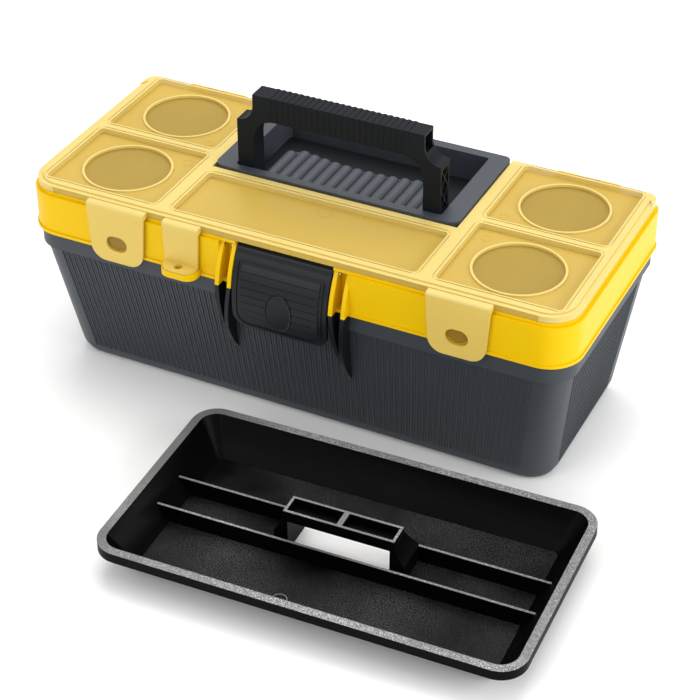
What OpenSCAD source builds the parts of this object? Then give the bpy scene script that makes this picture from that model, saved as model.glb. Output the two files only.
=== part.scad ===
// Toolbox with organizer lid and lift-out tray.
// Z is up, X runs along the length, the front faces -Y.
// The origin is the centre of the tub's underside.

/* [Tub] */
// Length of the lid's side band, the longest size of the closed box
box_l = 400; // [340:1:480]
// Width of the lid's side band, front to back
box_w = 172; // [150:1:206]
// Height of the tub, from the floor to the joint with the lid
tub_h = 112; // [94:1:134]
// Length of the tub's foot
foot_l = 366; // [310:1:390]
// Width of the tub's foot
foot_w = 128; // [110:1:154]
// Radius of the two front corners
front_r = 23.5; // [16:0.5:30]
// Radius of the two rear corners
rear_r = 10; // [6:0.5:16]
// Wall thickness of the tub
tub_wall = 2.6; // [2:0.1:4]
// Height of the smooth stepped-out rim at the tub's top
rim_h = 12; // [9:0.5:18]
// How far the rim stands back from the lid's band
rim_inset = 2; // [1:0.5:4]

/* [Lid] */
// Height of the lid's side band
band_h = 30; // [26:1:40]
// Wall thickness of the lid
lid_wall = 2.4; // [1.8:0.1:3.5]
// Height of the bead above the band
bead_h = 2.4; // [1.6:0.1:4]
// How far the bead stands back from the band
bead_step = 2.3; // [1.5:0.1:4]
// Thickness of the bins' walls and floors
bin_wall = 1.8; // [1.2:0.1:2.4]
// Thickness of a bin divider
divider_t = 1.4; // [1:0.1:2]
// Clearance of a divider in its guides
divider_gap = 0.3; // [0.2:0.05:0.6]

/* [Organizer cover] */
// Height of the cover, from its bottom edge to its ridge tops
cover_h = 5.3; // [4.4:0.1:8]
// Sheet thickness of the cover
cover_t = 1.6; // [1.2:0.1:2]
// Width of the cover's ridge along the ends
ridge_end = 9.7; // [7:0.1:13]
// Width of the cover's ridge along the front
ridge_front = 9.9; // [7:0.1:13]
// Width of the cover's ridge along the rear
ridge_rear = 2.5; // [2:0.1:5]
// Width of the ridge between two corner panels
ridge_cross = 9; // [6:0.1:12]
// Radius of the round windows in the corner panels
window_r = 30.6; // [24:0.1:33]
// Width of a snap tab
tab_w = 44.4; // [36:0.1:56]
// Distance of a snap tab's centre from the middle of the box
tab_x = 124.8; // [110:0.1:136]
// Thickness of the tabs
tab_t = 2; // [1.5:0.1:2.4]
// Radius of the padlock eye
padlock_r = 3; // [2.4:0.1:3.1]

/* [Handle and its well] */
// Width of the well's frame
well_w = 182; // [150:1:190]
// Width of the frame's side bars
well_bar = 14; // [10:0.5:18]
// Front edge of the well's frame
well_front = -12.6; // [-20:0.1:-8]
// Height of the well's frame above the cover's ridges
frame_rise = 2; // [1:0.1:4]
// Height of the handle's grip top above the lid's joint
handle_rise = 96; // [80:1:110]
// Width of a handle leg, along X
leg_w = 12.5; // [10:0.5:16]
// Depth of the handle, front to back
handle_d = 14.5; // [12:0.1:18]
// Height of the grip
grip_h = 18; // [14:0.5:22]
// Clearance between the handle and the well's side walls
handle_gap = 1.5; // [1:0.1:3]
// Radius of the handle's pivot pins
handle_pin_r = 2.5; // [2:0.1:3]

/* [Latch] */
// Width of the latch
latch_w = 69.6; // [56:0.1:76]
// Thickness of the latch plate
latch_t = 2.6; // [2:0.1:3.5]
// Radius of the curve that the latch and the horns follow
latch_curve_r = 69.4; // [62:0.1:90]
// Radius of the latch's pin
latch_pin_r = 1.5; // [1.2:0.1:1.7]
// Clearance between the latch and the ribs beside it
latch_gap = 1; // [0.6:0.1:1.5]

/* [Hinges] */
// Radius of the lid's hinge pins
hinge_pin_r = 2; // [1.5:0.1:2.4]
// Length of a lid hinge
hinge_l = 40; // [30:1:56]
// Distance of a lid hinge's centre from the middle of the box
hinge_x = 105; // [70:1:130]
// Radius of the cover's hinge pins
cover_pin_r = 1.5; // [1.2:0.1:1.8]
// Radial running clearance of every pin
pin_play = 0.05; // [0.02:0.01:0.09]

/* [Tray] */
// Length of the tray over its rim
tray_l = 285; // [240:1:340]
// Clearance between the tray's rim and the tub's rim, on each side
tray_gap = 0.9; // [0.5:0.1:2]
// Height of the tray's rim
tray_h = 26; // [24:1:36]
// Wall thickness of the tray
tray_wall = 1.8; // [1.4:0.1:2.6]
// Width of the tray's middle channel
channel_w = 28; // [24:0.5:34]
// Distance of the tray's middle from the middle of the box, along X
tray_x = 96.4; // [80:0.2:110]
// Gap between the tray and the box's front face
tray_ahead = 20.2; // [16:0.1:60]
// Turn of the tray as it lies on the floor, in degrees
tray_turn = 2.1; // [0:0.1:4]

/* [Hidden] */
$fn = 64;
eps = 0.01;          // thickness of a hull's slabs
over = 1;            // how far a cut runs past a face
hull_fn = 24;        // segments of a hull's round corners

// Colours
slate = [0.22, 0.24, 0.27];
yellow = [0.93, 0.74, 0.08];
amber = [0.93, 0.82, 0.48];
black = [0.08, 0.09, 0.10];
well_grey = [0.20, 0.21, 0.25];
steel = [0.72, 0.72, 0.70];

// Tub
step_z = tub_h - rim_h;                  // underside of the rim band
wall_top_inset = rim_inset + 2;          // the ribbed wall's top, back from the lid's band
foot_round = 8;                          // rounding of the tub's bottom edge
ledge_z = step_z + 2;                    // top of the ledge that carries the tray
floor_t = 3;                             // thickness of the tub's floor
wall_run_y = (box_w / 2 - wall_top_inset - foot_w / 2) / step_z;

// Lid
band_top = tub_h + band_h;
deck_top = band_top + bead_h;
deck_t = 2;                              // deck thickness below the bead
shoulder = 9;                            // width of the lid's bottom shoulder
shoulder_h = 2.2;
lip_out = 1;                             // how far the bottom lip stands out
bin_floor = tub_h + 4.5;                 // top of the bins' floors
bin_grow = 1;                            // bins are wider than the panels, on each side

// Cover
seat_gap = 0.3;
cover_z = deck_top + seat_gap;
cover_top = cover_z + cover_h;
panel_z = cover_z + cover_t;
cover_l = box_l - 2 * bead_step;
cover_w = box_w - 2 * bead_step;
u_half = well_w / 2 + 0.6;               // half width of the cover's slot for the well
u_front = well_front - 0.9;
ridge_well = 10.4;                       // ridge between the well and the corner panels
ridge_strip = 8;                         // ridge between the well and the long panel
long_half = u_half - 2.4;                // half length of the long front panel
panel_in = u_half + ridge_well;
panel_out = cover_l / 2 - ridge_end;
panel_front = -cover_w / 2 + ridge_front;
panel_rear = cover_w / 2 - ridge_rear;
panel_mid = (panel_front + panel_rear) / 2;
long_rear = u_front - ridge_strip;
// Each panel, and the bin under it: x and y of two corners
PANELS = [
    [panel_in, panel_mid + ridge_cross / 2, panel_out, panel_rear],
    [panel_in, panel_front, panel_out, panel_mid - ridge_cross / 2],
    [-panel_out, panel_mid + ridge_cross / 2, -panel_in, panel_rear],
    [-panel_out, panel_front, -panel_in, panel_mid - ridge_cross / 2],
    [-long_half, panel_front, long_half, long_rear]];
LONG = 4;                                // index of the long front panel
step_w = 3.4;                            // width of the step along the cover's edge
step_drop = 1;
face_y = -box_w / 2;                     // the lid's front face
tab_y = face_y - 1.3;                    // inner face of the tabs
tab_drop = 6.9;                          // how far a snap tab reaches below the lid
tab_round = 11;
tab_taper = 4;                           // the snap tabs' foot is narrower by this
tab_sink = 1.5;                          // the tabs' top, below the cover's top
tab_bend = 2.4;                          // radius of the tabs' bend
boss_z = tub_h + 8;                      // height of the snap bosses
boss_out = 1;                            // how far they stand out of the lid
boss_l = 15;
boss_h = 10.6;
boss_gap = 0.5;
padlock_x = -74.8;
padlock_w = 24.6;
padlock_taper = 2.4;
padlock_round = 8;                       // round corners of the padlock flange and its ledge
ledge_h = 4.6;                           // height of the ledge under the flange
padlock_out = 10.8;                      // how far the padlock flange stands out
flange_z = tub_h + 5;                    // underside of the cover's padlock flange
eye_y = tab_y - tab_t - 3.9;

// Well and handle
frame_top = cover_top + frame_rise;
well_rear = cover_w / 2;
basin_x = well_w / 2 - well_bar;         // half width of the basin
front_bar = 6.1;
rear_bar = 7.6;
basin_front = well_front + front_bar;
basin_rear = well_rear - rear_bar;
well_wall = 2.4;
basin_floor = tub_h + 19;
pivot_z = tub_h + 28;
handle_front = basin_front + 1;
pivot_y = handle_front + handle_d / 2 + 1.2;
handle_half = basin_x - handle_gap;
handle_top = tub_h + handle_rise;
grip_under = handle_top - grip_h;
scoop_r = leg_w - 0.3;
fillet_r = 16;
shelf_half = handle_half - leg_w - 1.5;
shelf_top = basin_floor + 9;
shelf_rear = pivot_y + 44;
roll_n = 14;
roll_pitch = 2 * shelf_half / roll_n;
roll_r = roll_pitch * 0.56;               // neighbouring rolls run into each other
roll_sink = 1;                           // depth of the rolls' axes in the shelf
shelf_bow_r = 200;
shelf_round = 15;
boss_x = basin_x + well_wall + 3.4;      // outer end of the pivot bosses
boss_r = 4.2;
pivot_head = 1.4;
screw_r = 1.45;
screw_y = [basin_front + 26, basin_rear - 6];
screw_x = basin_x + well_wall + 6.6;

// Latch and horns
latch_half = latch_w / 2;
rib_t = 2.8;
rib_in = latch_half + latch_gap;         // inner face of the inner ribs
rib_out = rib_in + 11.9;                 // outer face of the outer ribs
curve_z = tub_h - 9;                     // height of the curve's foremost point
curve_y = face_y - 7.3 + latch_curve_r;  // centre of the latch's curve
latch_axis_z = band_top - 3.6;
latch_knuckle = 3.3;
latch_axis_y = curve_y + latch_knuckle
    - sqrt(pow(latch_curve_r, 2) - pow(latch_axis_z - curve_z, 2));
latch_foot = tub_h - 28;
latch_round = 10;
latch_top = latch_axis_z + 2.2;
catch_half = 20;
catch_under = tub_h - 15.8;
hook_top = catch_under - 0.8;
latch_back = panel_front - bin_grow - bin_wall;
horn_r = latch_curve_r + 6.6;
horn_y = face_y - 7.3 + horn_r;
horn_tip = tub_h - 64;

// Hinges
lid_axis_y = box_w / 2 + 6.4;
lid_axis_z = tub_h + 0.4;
knuckle_r = 4.5;
side_gap = 0.4;                          // gap between neighbouring knuckles
head_t = 1.4;
cover_axis_y = box_w / 2 + 4.2;
cover_axis_z = deck_top - 1.4;
cover_knuckle = 3.2;
cover_hinge_x = (panel_in + panel_out) / 2;
cover_hinge_l = 44;

// Tray
tray_w = box_w - 2 * (rim_inset + tub_wall + tray_gap);
skirt_h = 7;                             // depth of the tray's rim skirt
tray_r = 18;
body_in = 4;                             // the tray body's top, in from the rim
body_draft = 13;                         // the tray body's foot, in from its top
divider_h = 14;
channel_y = 2;                           // the channel's middle, back from the tray's
bar_l = 76;
bar_w = 16;
bar_x = -4;                              // the bar's middle, to the side of the tray's
bar_y = 1;
bar_wall = 1.8;
leg_t = 3;                               // thickness of the bar's legs at the top
leg_flare = 7;                           // how far the legs flare outwards
window_back = 27;                        // the window's rear edge, back from the tray's middle
bar_top = tray_h + 6.5;
bar_h = 8;
tray_y = face_y - tray_ahead - tray_w / 2;

// Rounded rectangle centred on the origin, with its own front and rear radii
module plate2d(l, w, rf, rb) {
    translate([-l / 2, -w / 2 + rf]) square([l, w - rf - rb]);
    translate([-l / 2 + rf, -w / 2]) square([l - 2 * rf, rf + eps]);
    translate([-l / 2 + rb, w / 2 - rb - eps]) square([l - 2 * rb, rb + eps]);
    for (s = [-1, 1]) {
        translate([s * (l / 2 - rf), -w / 2 + rf]) circle(rf);
        translate([s * (l / 2 - rb), w / 2 - rb]) circle(rb);
    }
}

// The box's outline, drawn in by an inset
module outline(inset) {
    plate2d(box_l - 2 * inset, box_w - 2 * inset, front_r - inset, max(rear_r - inset, 2));
}

module slab(z, h, inset) {
    translate([0, 0, z]) linear_extrude(h) outline(inset);
}

// A ring between two insets
module ring(z, h, outer, inner) {
    translate([0, 0, z]) linear_extrude(h) difference() {
        outline(outer);
        outline(inner);
    }
}

// Rounded rectangle between two corners, r = [x0, y0, x1, y1], grown on each side
module rect2d(r, grow, round) {
    translate([(r[0] + r[2]) / 2, (r[1] + r[3]) / 2])
        plate2d(r[2] - r[0] + 2 * grow, r[3] - r[1] + 2 * grow, round, round);
}

module rod(x0, x1, y, z, r) {
    translate([x0, y, z]) rotate([0, 90, 0]) cylinder(h = x1 - x0, r = r);
}

// A 2D shape drawn in Y and Z, extruded from x0 to x1
module along_x(x0, x1) {
    translate([x0, 0, 0]) rotate([90, 0, 90]) linear_extrude(x1 - x0) children();
}

// A 2D shape drawn in X and Z, extruded from y0 to y1
module along_y(y0, y1) {
    translate([0, y1, 0]) rotate([90, 0, 0]) linear_extrude(y1 - y0) children();
}

module box3(lo, hi) {
    translate(lo) cube(hi - lo);
}

// ---- Tub ----

// One level of the tub's tapered wall: t is 0 at the foot and 1 at the rim
module tub_level(z, t, inset) {
    l = foot_l + (box_l - 2 * wall_top_inset - foot_l) * t - 2 * inset;
    w = foot_w + (box_w - 2 * wall_top_inset - foot_w) * t - 2 * inset;
    r = max(front_r - wall_top_inset - inset, 6);
    rb = max(rear_r - wall_top_inset + 2 - inset, 4);
    translate([0, 0, z]) linear_extrude(eps) plate2d(l, w, r, rb, $fn = hull_fn);
}

module tub_body(inset, z0, z1) {
    hull() {
        tub_level(z0, z0 / step_z, inset + foot_round);
        tub_level(z0 + foot_round * 0.3, (z0 + foot_round * 0.3) / step_z, inset + foot_round * 0.29);
        tub_level(z0 + foot_round, (z0 + foot_round) / step_z, inset);
        tub_level(z1 - eps, z1 / step_z, inset);
    }
}

// The curved side profile of a horn, from the tub's wall outwards
module horn_side() {
    wall_y = function (z) -(foot_w / 2 + wall_run_y * z) + tub_wall / 2;
    intersection() {
        translate([horn_y, curve_z]) circle(horn_r, $fn = 128);
        polygon([[face_y - 9, tub_h - 0.3], [face_y + rim_inset + tub_wall / 2, tub_h - 0.3],
                 [wall_y(step_z), step_z], [wall_y(horn_tip - 4), horn_tip - 4],
                 [face_y - 9, horn_tip - 4]]);
    }
}

// A hollow horn: two fins that run together below the latch
module horn() {
    mid = (rib_in + rib_out) / 2 + 1;
    difference() {
        intersection() {
            along_x(rib_in, rib_out) horn_side();
            along_y(face_y - 10, face_y + 30) polygon([
                [rib_in, tub_h], [rib_out, tub_h], [mid + 2.2, tub_h - 34], [mid + 1.2, horn_tip],
                [mid - 1.2, horn_tip], [mid - 2.2, tub_h - 34]]);
        }
        along_y(face_y - 10, face_y + rim_inset - 0.6) polygon([
            [rib_in + rib_t, tub_h + over], [rib_out - rib_t, tub_h + over], [mid, tub_h - 31]]);
    }
}

module base_knuckles() {
    k = (hinge_l - 4 * side_gap) / 3;
    for (s = [-1, 1]) for (e = [-1, 1]) {
        x0 = s * hinge_x + e * (k + side_gap * 2) - k / 2;
        difference() {
            union() {
                rod(x0, x0 + k, lid_axis_y, lid_axis_z, knuckle_r);
                along_x(x0, x0 + k) polygon([
                    [box_w / 2 - rim_inset - tub_wall / 2, tub_h - 11],
                    [box_w / 2 - rim_inset - tub_wall / 2, tub_h - 0.5],
                    [lid_axis_y - 3, tub_h - 0.5], [lid_axis_y + knuckle_r * 0.7, tub_h - 2.5],
                    [box_w / 2 - rim_inset + 2, tub_h - 11]]);
            }
            rod(x0 - over, x0 + k + over, lid_axis_y, lid_axis_z, hinge_pin_r + pin_play);
        }
    }
}

module base_tub() {
    color(slate) {
        difference() {
            tub_body(0, 0, step_z);
            tub_body(tub_wall, floor_t, step_z + eps);
        }
        // The rim steps out over a ledge that carries the tray
        ring(step_z - 1.4, ledge_z - step_z + 1.4, rim_inset, wall_top_inset + tub_wall);
        ring(step_z, rim_h, rim_inset, rim_inset + tub_wall);
        horn();
        mirror([1, 0, 0]) horn();
        // The catch that the latch hooks under
        along_x(-catch_half, catch_half) polygon([
            [face_y + rim_inset + 1, catch_under], [face_y - 2.2, catch_under],
            [face_y - 2.2, catch_under + 1.5], [face_y + rim_inset, tub_h - 9],
            [face_y + rim_inset + 1, tub_h - 9]]);
        base_knuckles();
    }
}

module hinge_pin(s) {
    x0 = s * hinge_x - hinge_l / 2;
    color(steel) {
        rod(x0, x0 + hinge_l, lid_axis_y, lid_axis_z, hinge_pin_r);
        rod(x0 - head_t, x0, lid_axis_y, lid_axis_z, hinge_pin_r + 1);
    }
}

// ---- Lid ----

module lid_knuckle(s) {
    k = (hinge_l - 4 * side_gap) / 3;
    x0 = s * hinge_x - k / 2;
    difference() {
        union() {
            rod(x0, x0 + k, lid_axis_y, lid_axis_z, knuckle_r);
            along_x(x0, x0 + k) polygon([
                [box_w / 2 - lid_wall, tub_h + 1.2], [box_w / 2 - lid_wall, tub_h + 12],
                [box_w / 2 + 1.5, tub_h + 12], [lid_axis_y + knuckle_r * 0.7, tub_h + 3.6],
                [lid_axis_y, tub_h + 1.2]]);
        }
        rod(x0 - over, x0 + k + over, lid_axis_y, lid_axis_z, hinge_pin_r + pin_play);
    }
}

// Two knuckles on the lid for one end of the cover
module cover_hinge_ears(s) {
    k = (cover_hinge_l - 4 * side_gap) / 3;
    for (e = [-1, 1]) {
        x0 = s * cover_hinge_x + e * (k + side_gap * 2) - k / 2;
        difference() {
            union() {
                rod(x0, x0 + k, cover_axis_y, cover_axis_z, cover_knuckle);
                along_x(x0, x0 + k) polygon([
                    [box_w / 2 - 1, cover_axis_z - 9], [box_w / 2 - 1, cover_axis_z - 1],
                    [cover_axis_y, cover_axis_z - 1], [cover_axis_y + 2.6, cover_axis_z - 2],
                    [box_w / 2 + 1, cover_axis_z - 9]]);
            }
            rod(x0 - over, x0 + k + over, cover_axis_y, cover_axis_z, cover_pin_r + pin_play);
        }
    }
}

// A pair of small ribs at each end of a divider, on the bin's front and rear walls
module divider_guides(p, x) {
    half = divider_t / 2 + divider_gap;
    for (side = [-1, 1]) for (y = [p[1] - bin_grow, p[3] + bin_grow - 1.5])
        box3([x + side * (half + 0.75) - 0.75, y, bin_floor - 0.5],
             [x + side * (half + 0.75) + 0.75, y + 1.5, deck_top - 4]);
}

function panel_x(p) = (p[0] + p[2]) / 2;

// The lid's ribs beside the latch share its curve
module lid_rib(x0) {
    along_x(x0, x0 + rib_t) intersection() {
        translate([curve_y, curve_z]) circle(latch_curve_r, $fn = 128);
        translate([face_y - 10, tub_h + 0.3]) square([latch_back - face_y + 10.5, band_h - 0.3]);
    }
}

module stadium(l, h) {
    translate([-(l - h) / 2, -h / 2]) square([l - h, h]);
    for (s = [-1, 1]) translate([s * (l - h) / 2, 0]) circle(h / 2);
}

module lid_shell() {
    color(yellow) difference() {
        union() {
            difference() {
                union() {
                    ring(tub_h, band_h, 0, lid_wall);
                    ring(tub_h, shoulder_h, 0, shoulder);
                    ring(tub_h, shoulder_h, -lip_out, lid_wall);
                    slab(band_top - deck_t, deck_t, 1);
                    slab(band_top - eps, bead_h + eps, bead_step);
                }
                // Recess for the latch and its ribs
                box3([-rib_out, face_y - 4, tub_h + shoulder_h], [rib_out, latch_back, band_top]);
                box3([-rib_out, face_y - 4, tub_h - over], [rib_out, face_y, band_top]);
                // Notch that lets the opened latch swing past the deck's edge
                box3([-rib_in, face_y - 4, band_top - over],
                     [rib_in, latch_axis_y + 0.6, deck_top + over]);
            }
            for (p = PANELS) translate([0, 0, bin_floor - bin_wall])
                linear_extrude(deck_top - bin_floor + bin_wall) rect2d(p, bin_grow + bin_wall, 2);
            for (x = [rib_in, rib_out - rib_t, -rib_in - rib_t, -rib_out]) lid_rib(x);
            for (s = [-1, 1]) {
                lid_knuckle(s);
                cover_hinge_ears(s);
                // Bosses for the cover's snap tabs
                translate([s * tab_x, 0, boss_z]) along_y(face_y - boss_out, face_y + 1)
                    stadium(boss_l, boss_h);
            }
            // Ledge under the cover's padlock flange
            translate([padlock_x, face_y, flange_z - 0.3 - ledge_h]) linear_extrude(ledge_h)
                intersection() {
                    translate([0, -4]) plate2d(padlock_w + 2.4, 17, padlock_round, 4);
                    translate([-padlock_w, -20]) square([2 * padlock_w, 21]);
                }
        }
        for (p = PANELS) translate([0, 0, bin_floor])
            linear_extrude(deck_top - bin_floor + over) rect2d(p, bin_grow, 3.5);
        // Opening for the handle's well, with room for its pivot bosses
        box3([-basin_x - well_wall - 0.6, basin_front - well_wall - 0.6, band_top - deck_t - over],
             [basin_x + well_wall + 0.6, basin_rear + well_wall + 0.6, deck_top + over]);
        box3([-boss_x - pivot_head - 0.8, pivot_y - boss_r - 0.8, band_top - deck_t - over],
             [boss_x + pivot_head + 0.8, pivot_y + boss_r + 0.8, deck_top + over]);
        for (s = [-1, 1]) for (y = screw_y) translate([s * screw_x, y, band_top - deck_t - over])
            cylinder(h = deck_t + bead_h + 2 * over, r = screw_r + 0.3);
        rod(-rib_out - over, rib_out + over, latch_axis_y, latch_axis_z, latch_pin_r + pin_play);
        translate([padlock_x, eye_y, flange_z - 8]) cylinder(h = 10, r = padlock_r);
    }
    color(yellow) {
        for (i = [0 : 3]) divider_guides(PANELS[i], panel_x(PANELS[i]));
        for (s = [-1, 1]) divider_guides(PANELS[LONG], s * long_half * 2 / 3);
    }
}

module divider(p, x) {
    color(amber) box3([x - divider_t / 2, p[1] - bin_grow + divider_gap, bin_floor],
                      [x + divider_t / 2, p[3] + bin_grow - divider_gap, deck_top - 3]);
}

module divider_rear_right() { divider(PANELS[0], panel_x(PANELS[0])); }
module divider_front_right() { divider(PANELS[1], panel_x(PANELS[1])); }
module divider_rear_left() { divider(PANELS[2], panel_x(PANELS[2])); }
module divider_front_left() { divider(PANELS[3], panel_x(PANELS[3])); }
module divider_long_left() { divider(PANELS[LONG], -long_half * 2 / 3); }
module divider_long_right() { divider(PANELS[LONG], long_half * 2 / 3); }

module cover_pin(s) {
    x0 = s * cover_hinge_x - cover_hinge_l / 2;
    color(steel) {
        rod(x0, x0 + cover_hinge_l, cover_axis_y, cover_axis_z, cover_pin_r);
        rod(x0 - head_t, x0, cover_axis_y, cover_axis_z, cover_pin_r + 0.8);
    }
}

// ---- Handle well ----

// The ridged shelf in plan: its rear edge bows inwards between two rounded corners
module shelf_plan() {
    difference() {
        translate([0, (basin_front - 1 + shelf_rear) / 2])
            plate2d(2 * shelf_half, shelf_rear - basin_front + 1, 1, shelf_round);
        translate([0, shelf_rear + shelf_bow_r - 7]) circle(shelf_bow_r, $fn = 180);
    }
}

function roll_x(i) = -shelf_half + (i + 0.5) * roll_pitch;

// Where the shelf's bowed rear edge is at one x
function shelf_end(x) = min(shelf_rear - (abs(x) > shelf_half - roll_pitch ? shelf_round / 3 : 0),
    shelf_rear + shelf_bow_r - 7 - sqrt(shelf_bow_r * shelf_bow_r - x * x));

module handle_well() {
    color(well_grey) difference() {
        union() {
            translate([0, (well_front + well_rear) / 2, deck_top])
                linear_extrude(frame_top - deck_top)
                    plate2d(well_w, well_rear - well_front, 7, 5);
            translate([0, (basin_front + basin_rear) / 2, basin_floor - well_wall])
                linear_extrude(deck_top - basin_floor + well_wall + eps)
                    plate2d(2 * (basin_x + well_wall), basin_rear - basin_front + 2 * well_wall, 4, 4);
            for (s = [-1, 1]) translate([s * (boss_x + basin_x) / 2, pivot_y, pivot_z])
                rotate([0, 90, 0]) cylinder(h = boss_x - basin_x, r = boss_r, center = true);
        }
        difference() {
            translate([0, (basin_front + basin_rear) / 2, basin_floor])
                linear_extrude(frame_top - basin_floor + over)
                    plate2d(2 * basin_x, basin_rear - basin_front, 2, 2);
            // The shelf and its half-round rolls stay
            intersection() {
                translate([0, 0, basin_floor - over]) linear_extrude(30) shelf_plan();
                union() {
                    box3([-shelf_half, basin_front - 2, basin_floor - over],
                         [shelf_half, shelf_rear, shelf_top]);
                    for (i = [0 : roll_n - 1])
                        translate([roll_x(i), basin_front - 2, shelf_top - roll_sink])
                            rotate([-90, 0, 0])
                                cylinder(h = shelf_end(roll_x(i)) - roll_r - basin_front + 2, r = roll_r);
                }
            }
        }
        // Hollow under the shelf
        box3([-shelf_half + 3, basin_front + 1, basin_floor - well_wall - over],
             [shelf_half - 3, shelf_rear - 12, shelf_top - 2]);
        for (s = [-1, 1]) translate([s * (boss_x + basin_x) / 2, pivot_y, pivot_z])
            rotate([0, 90, 0]) cylinder(h = boss_x - basin_x + 2 * over, r = handle_pin_r + pin_play,
                                        center = true);
        for (s = [-1, 1]) for (y = screw_y) translate([s * screw_x, y, deck_top - over])
            cylinder(h = frame_top - deck_top - 0.6, r = screw_r + 0.05);
    }
}

module well_screws() {
    color(steel) for (s = [-1, 1]) for (y = screw_y) translate([s * screw_x, y, 0]) {
        translate([0, 0, band_top - deck_t - 2]) cylinder(h = 2, r = 3);
        translate([0, 0, band_top - deck_t - eps]) cylinder(h = deck_t + bead_h + 5, r = screw_r);
    }
}

// ---- Handle ----

// Front view of the bail
module handle_outline() {
    foot = pivot_z - handle_d / 2;
    difference() {
        translate([-handle_half, foot]) square([2 * handle_half, handle_top - foot]);
        // The open space under the grip
        difference() {
            translate([-handle_half + leg_w, foot - over])
                square([2 * (handle_half - leg_w), grip_under - foot + over]);
            for (s = [-1, 1]) difference() {
                translate([s * (handle_half - leg_w - fillet_r / 2 + over), grip_under - fillet_r / 2 + over])
                    square(fillet_r + 2 * over, center = true);
                translate([s * (handle_half - leg_w - fillet_r), grip_under - fillet_r]) circle(fillet_r);
            }
        }
        // Scooped shoulders
        for (s = [-1, 1]) {
            translate([s * handle_half, handle_top - grip_h / 2]) circle(scoop_r);
            translate([s * handle_half - scoop_r, handle_top - grip_h / 2]) square([2 * scoop_r, grip_h]);
        }
    }
}

// Open channel with crossed ribs in the outer face of a leg
module leg_channel(s) {
    foot = pivot_z + 12;
    top = handle_top - grip_h / 2 - scoop_r - 4;
    mid_y = handle_front + handle_d / 2;
    half = handle_d / 2 - 2;
    cells = 2;
    cell_h = (top - foot) / cells;
    translate([s * (handle_half - 2.5), 0, 0]) difference() {
        box3([-3.5, mid_y - half, foot], [3.5, mid_y + half, top]);
        for (i = [0 : cells - 1]) for (t = [-1, 1])
            translate([0, mid_y, foot + (i + 0.5) * cell_h])
                rotate([t * atan(2 * half / cell_h), 0, 0]) cube([9, 1.4, cell_h * 2], center = true);
    }
}

module handle() {
    mid_y = handle_front + handle_d / 2;
    color(black) difference() {
        intersection() {
            along_y(handle_front, handle_front + handle_d) handle_outline();
            // The legs' feet are round, about the pivot's height
            union() {
                box3([-handle_half - over, handle_front - over, pivot_z],
                     [handle_half + over, handle_front + handle_d + over, handle_top + over]);
                rod(-handle_half - over, handle_half + over, mid_y, pivot_z, handle_d / 2);
            }
        }
        leg_channel(-1);
        leg_channel(1);
        // The grip is hollow at its ends
        for (m = [0, 1]) mirror([m, 0, 0]) translate([handle_half - scoop_r, mid_y, 0])
            box3([-14, -handle_d / 2 + 2, grip_under + 3], [over, handle_d / 2 - 2, handle_top - 2]);
        rod(-handle_half - over, handle_half + over, pivot_y, pivot_z, handle_pin_r + pin_play);
    }
}

module handle_pin(s) {
    inner = handle_half - leg_w + 1.5;
    color(steel) mirror([s > 0 ? 0 : 1, 0, 0]) {
        rod(inner, boss_x, pivot_y, pivot_z, handle_pin_r);
        rod(boss_x, boss_x + pivot_head, pivot_y, pivot_z, handle_pin_r + 1.2);
    }
}

// ---- Organizer cover ----

module cover_plan(inset) {
    difference() {
        plate2d(cover_l - 2 * inset, cover_w - 2 * inset, front_r - bead_step - inset,
                max(rear_r - bead_step - inset, 2));
        translate([-u_half - inset, u_front - inset])
            square([2 * (u_half + inset), cover_w]);
    }
}

// A tab on the cover's front edge bends down round a radius, and narrows from wide to narrow
module front_tab(x, wide, narrow, foot, round) {
    bend_z = cover_top - tab_sink - tab_bend;
    translate([x, 0, 0]) {
        along_y(tab_y - tab_t, tab_y) {
            polygon([[-narrow / 2, foot + round], [narrow / 2, foot + round],
                     [wide / 2, bend_z], [-wide / 2, bend_z]]);
            translate([0, foot + round + 1]) plate2d(narrow, 2 * round + 2, round, 1);
        }
        along_x(-wide / 2, wide / 2) {
            translate([tab_y - tab_t + tab_bend, bend_z]) circle(tab_bend);
            polygon([[tab_y - tab_t, cover_z], [-cover_w / 2 + 2, cover_z],
                     [-cover_w / 2 + 2, cover_top - tab_sink],
                     [tab_y - tab_t + tab_bend, cover_top - tab_sink],
                     [tab_y - tab_t + tab_bend, bend_z], [tab_y - tab_t, bend_z]]);
        }
    }
}

module snap_tab(s) {
    difference() {
        front_tab(s * tab_x, tab_w, tab_w - tab_taper, tub_h - tab_drop, tab_round);
        translate([s * tab_x, 0, boss_z]) along_y(tab_y - tab_t - over, tab_y + over)
            stadium(boss_l + 2 * boss_gap, boss_h + 2 * boss_gap);
    }
}

module padlock_tab() {
    difference() {
        union() {
            front_tab(padlock_x, padlock_w + padlock_taper, padlock_w, flange_z, 0.5);
            translate([padlock_x, tab_y - padlock_out, flange_z]) linear_extrude(tab_t)
                intersection() {
                    translate([0, padlock_round + 1])
                        plate2d(padlock_w, 2 * padlock_round + 2, padlock_round, 0.5);
                    translate([-padlock_w, 0]) square([2 * padlock_w, padlock_out]);
                }
        }
        translate([padlock_x, eye_y, flange_z - over]) cylinder(h = tab_t + 2 * over, r = padlock_r);
    }
}

module cover_lug(s) {
    k = (cover_hinge_l - 4 * side_gap) / 3;
    x0 = s * cover_hinge_x - k / 2;
    difference() {
        union() {
            rod(x0, x0 + k, cover_axis_y, cover_axis_z, cover_knuckle);
            box3([x0, cover_w / 2 - 2, cover_z], [x0 + k, cover_axis_y, cover_axis_z + cover_knuckle]);
        }
        rod(x0 - over, x0 + k + over, cover_axis_y, cover_axis_z, cover_pin_r + pin_play);
    }
}

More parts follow.
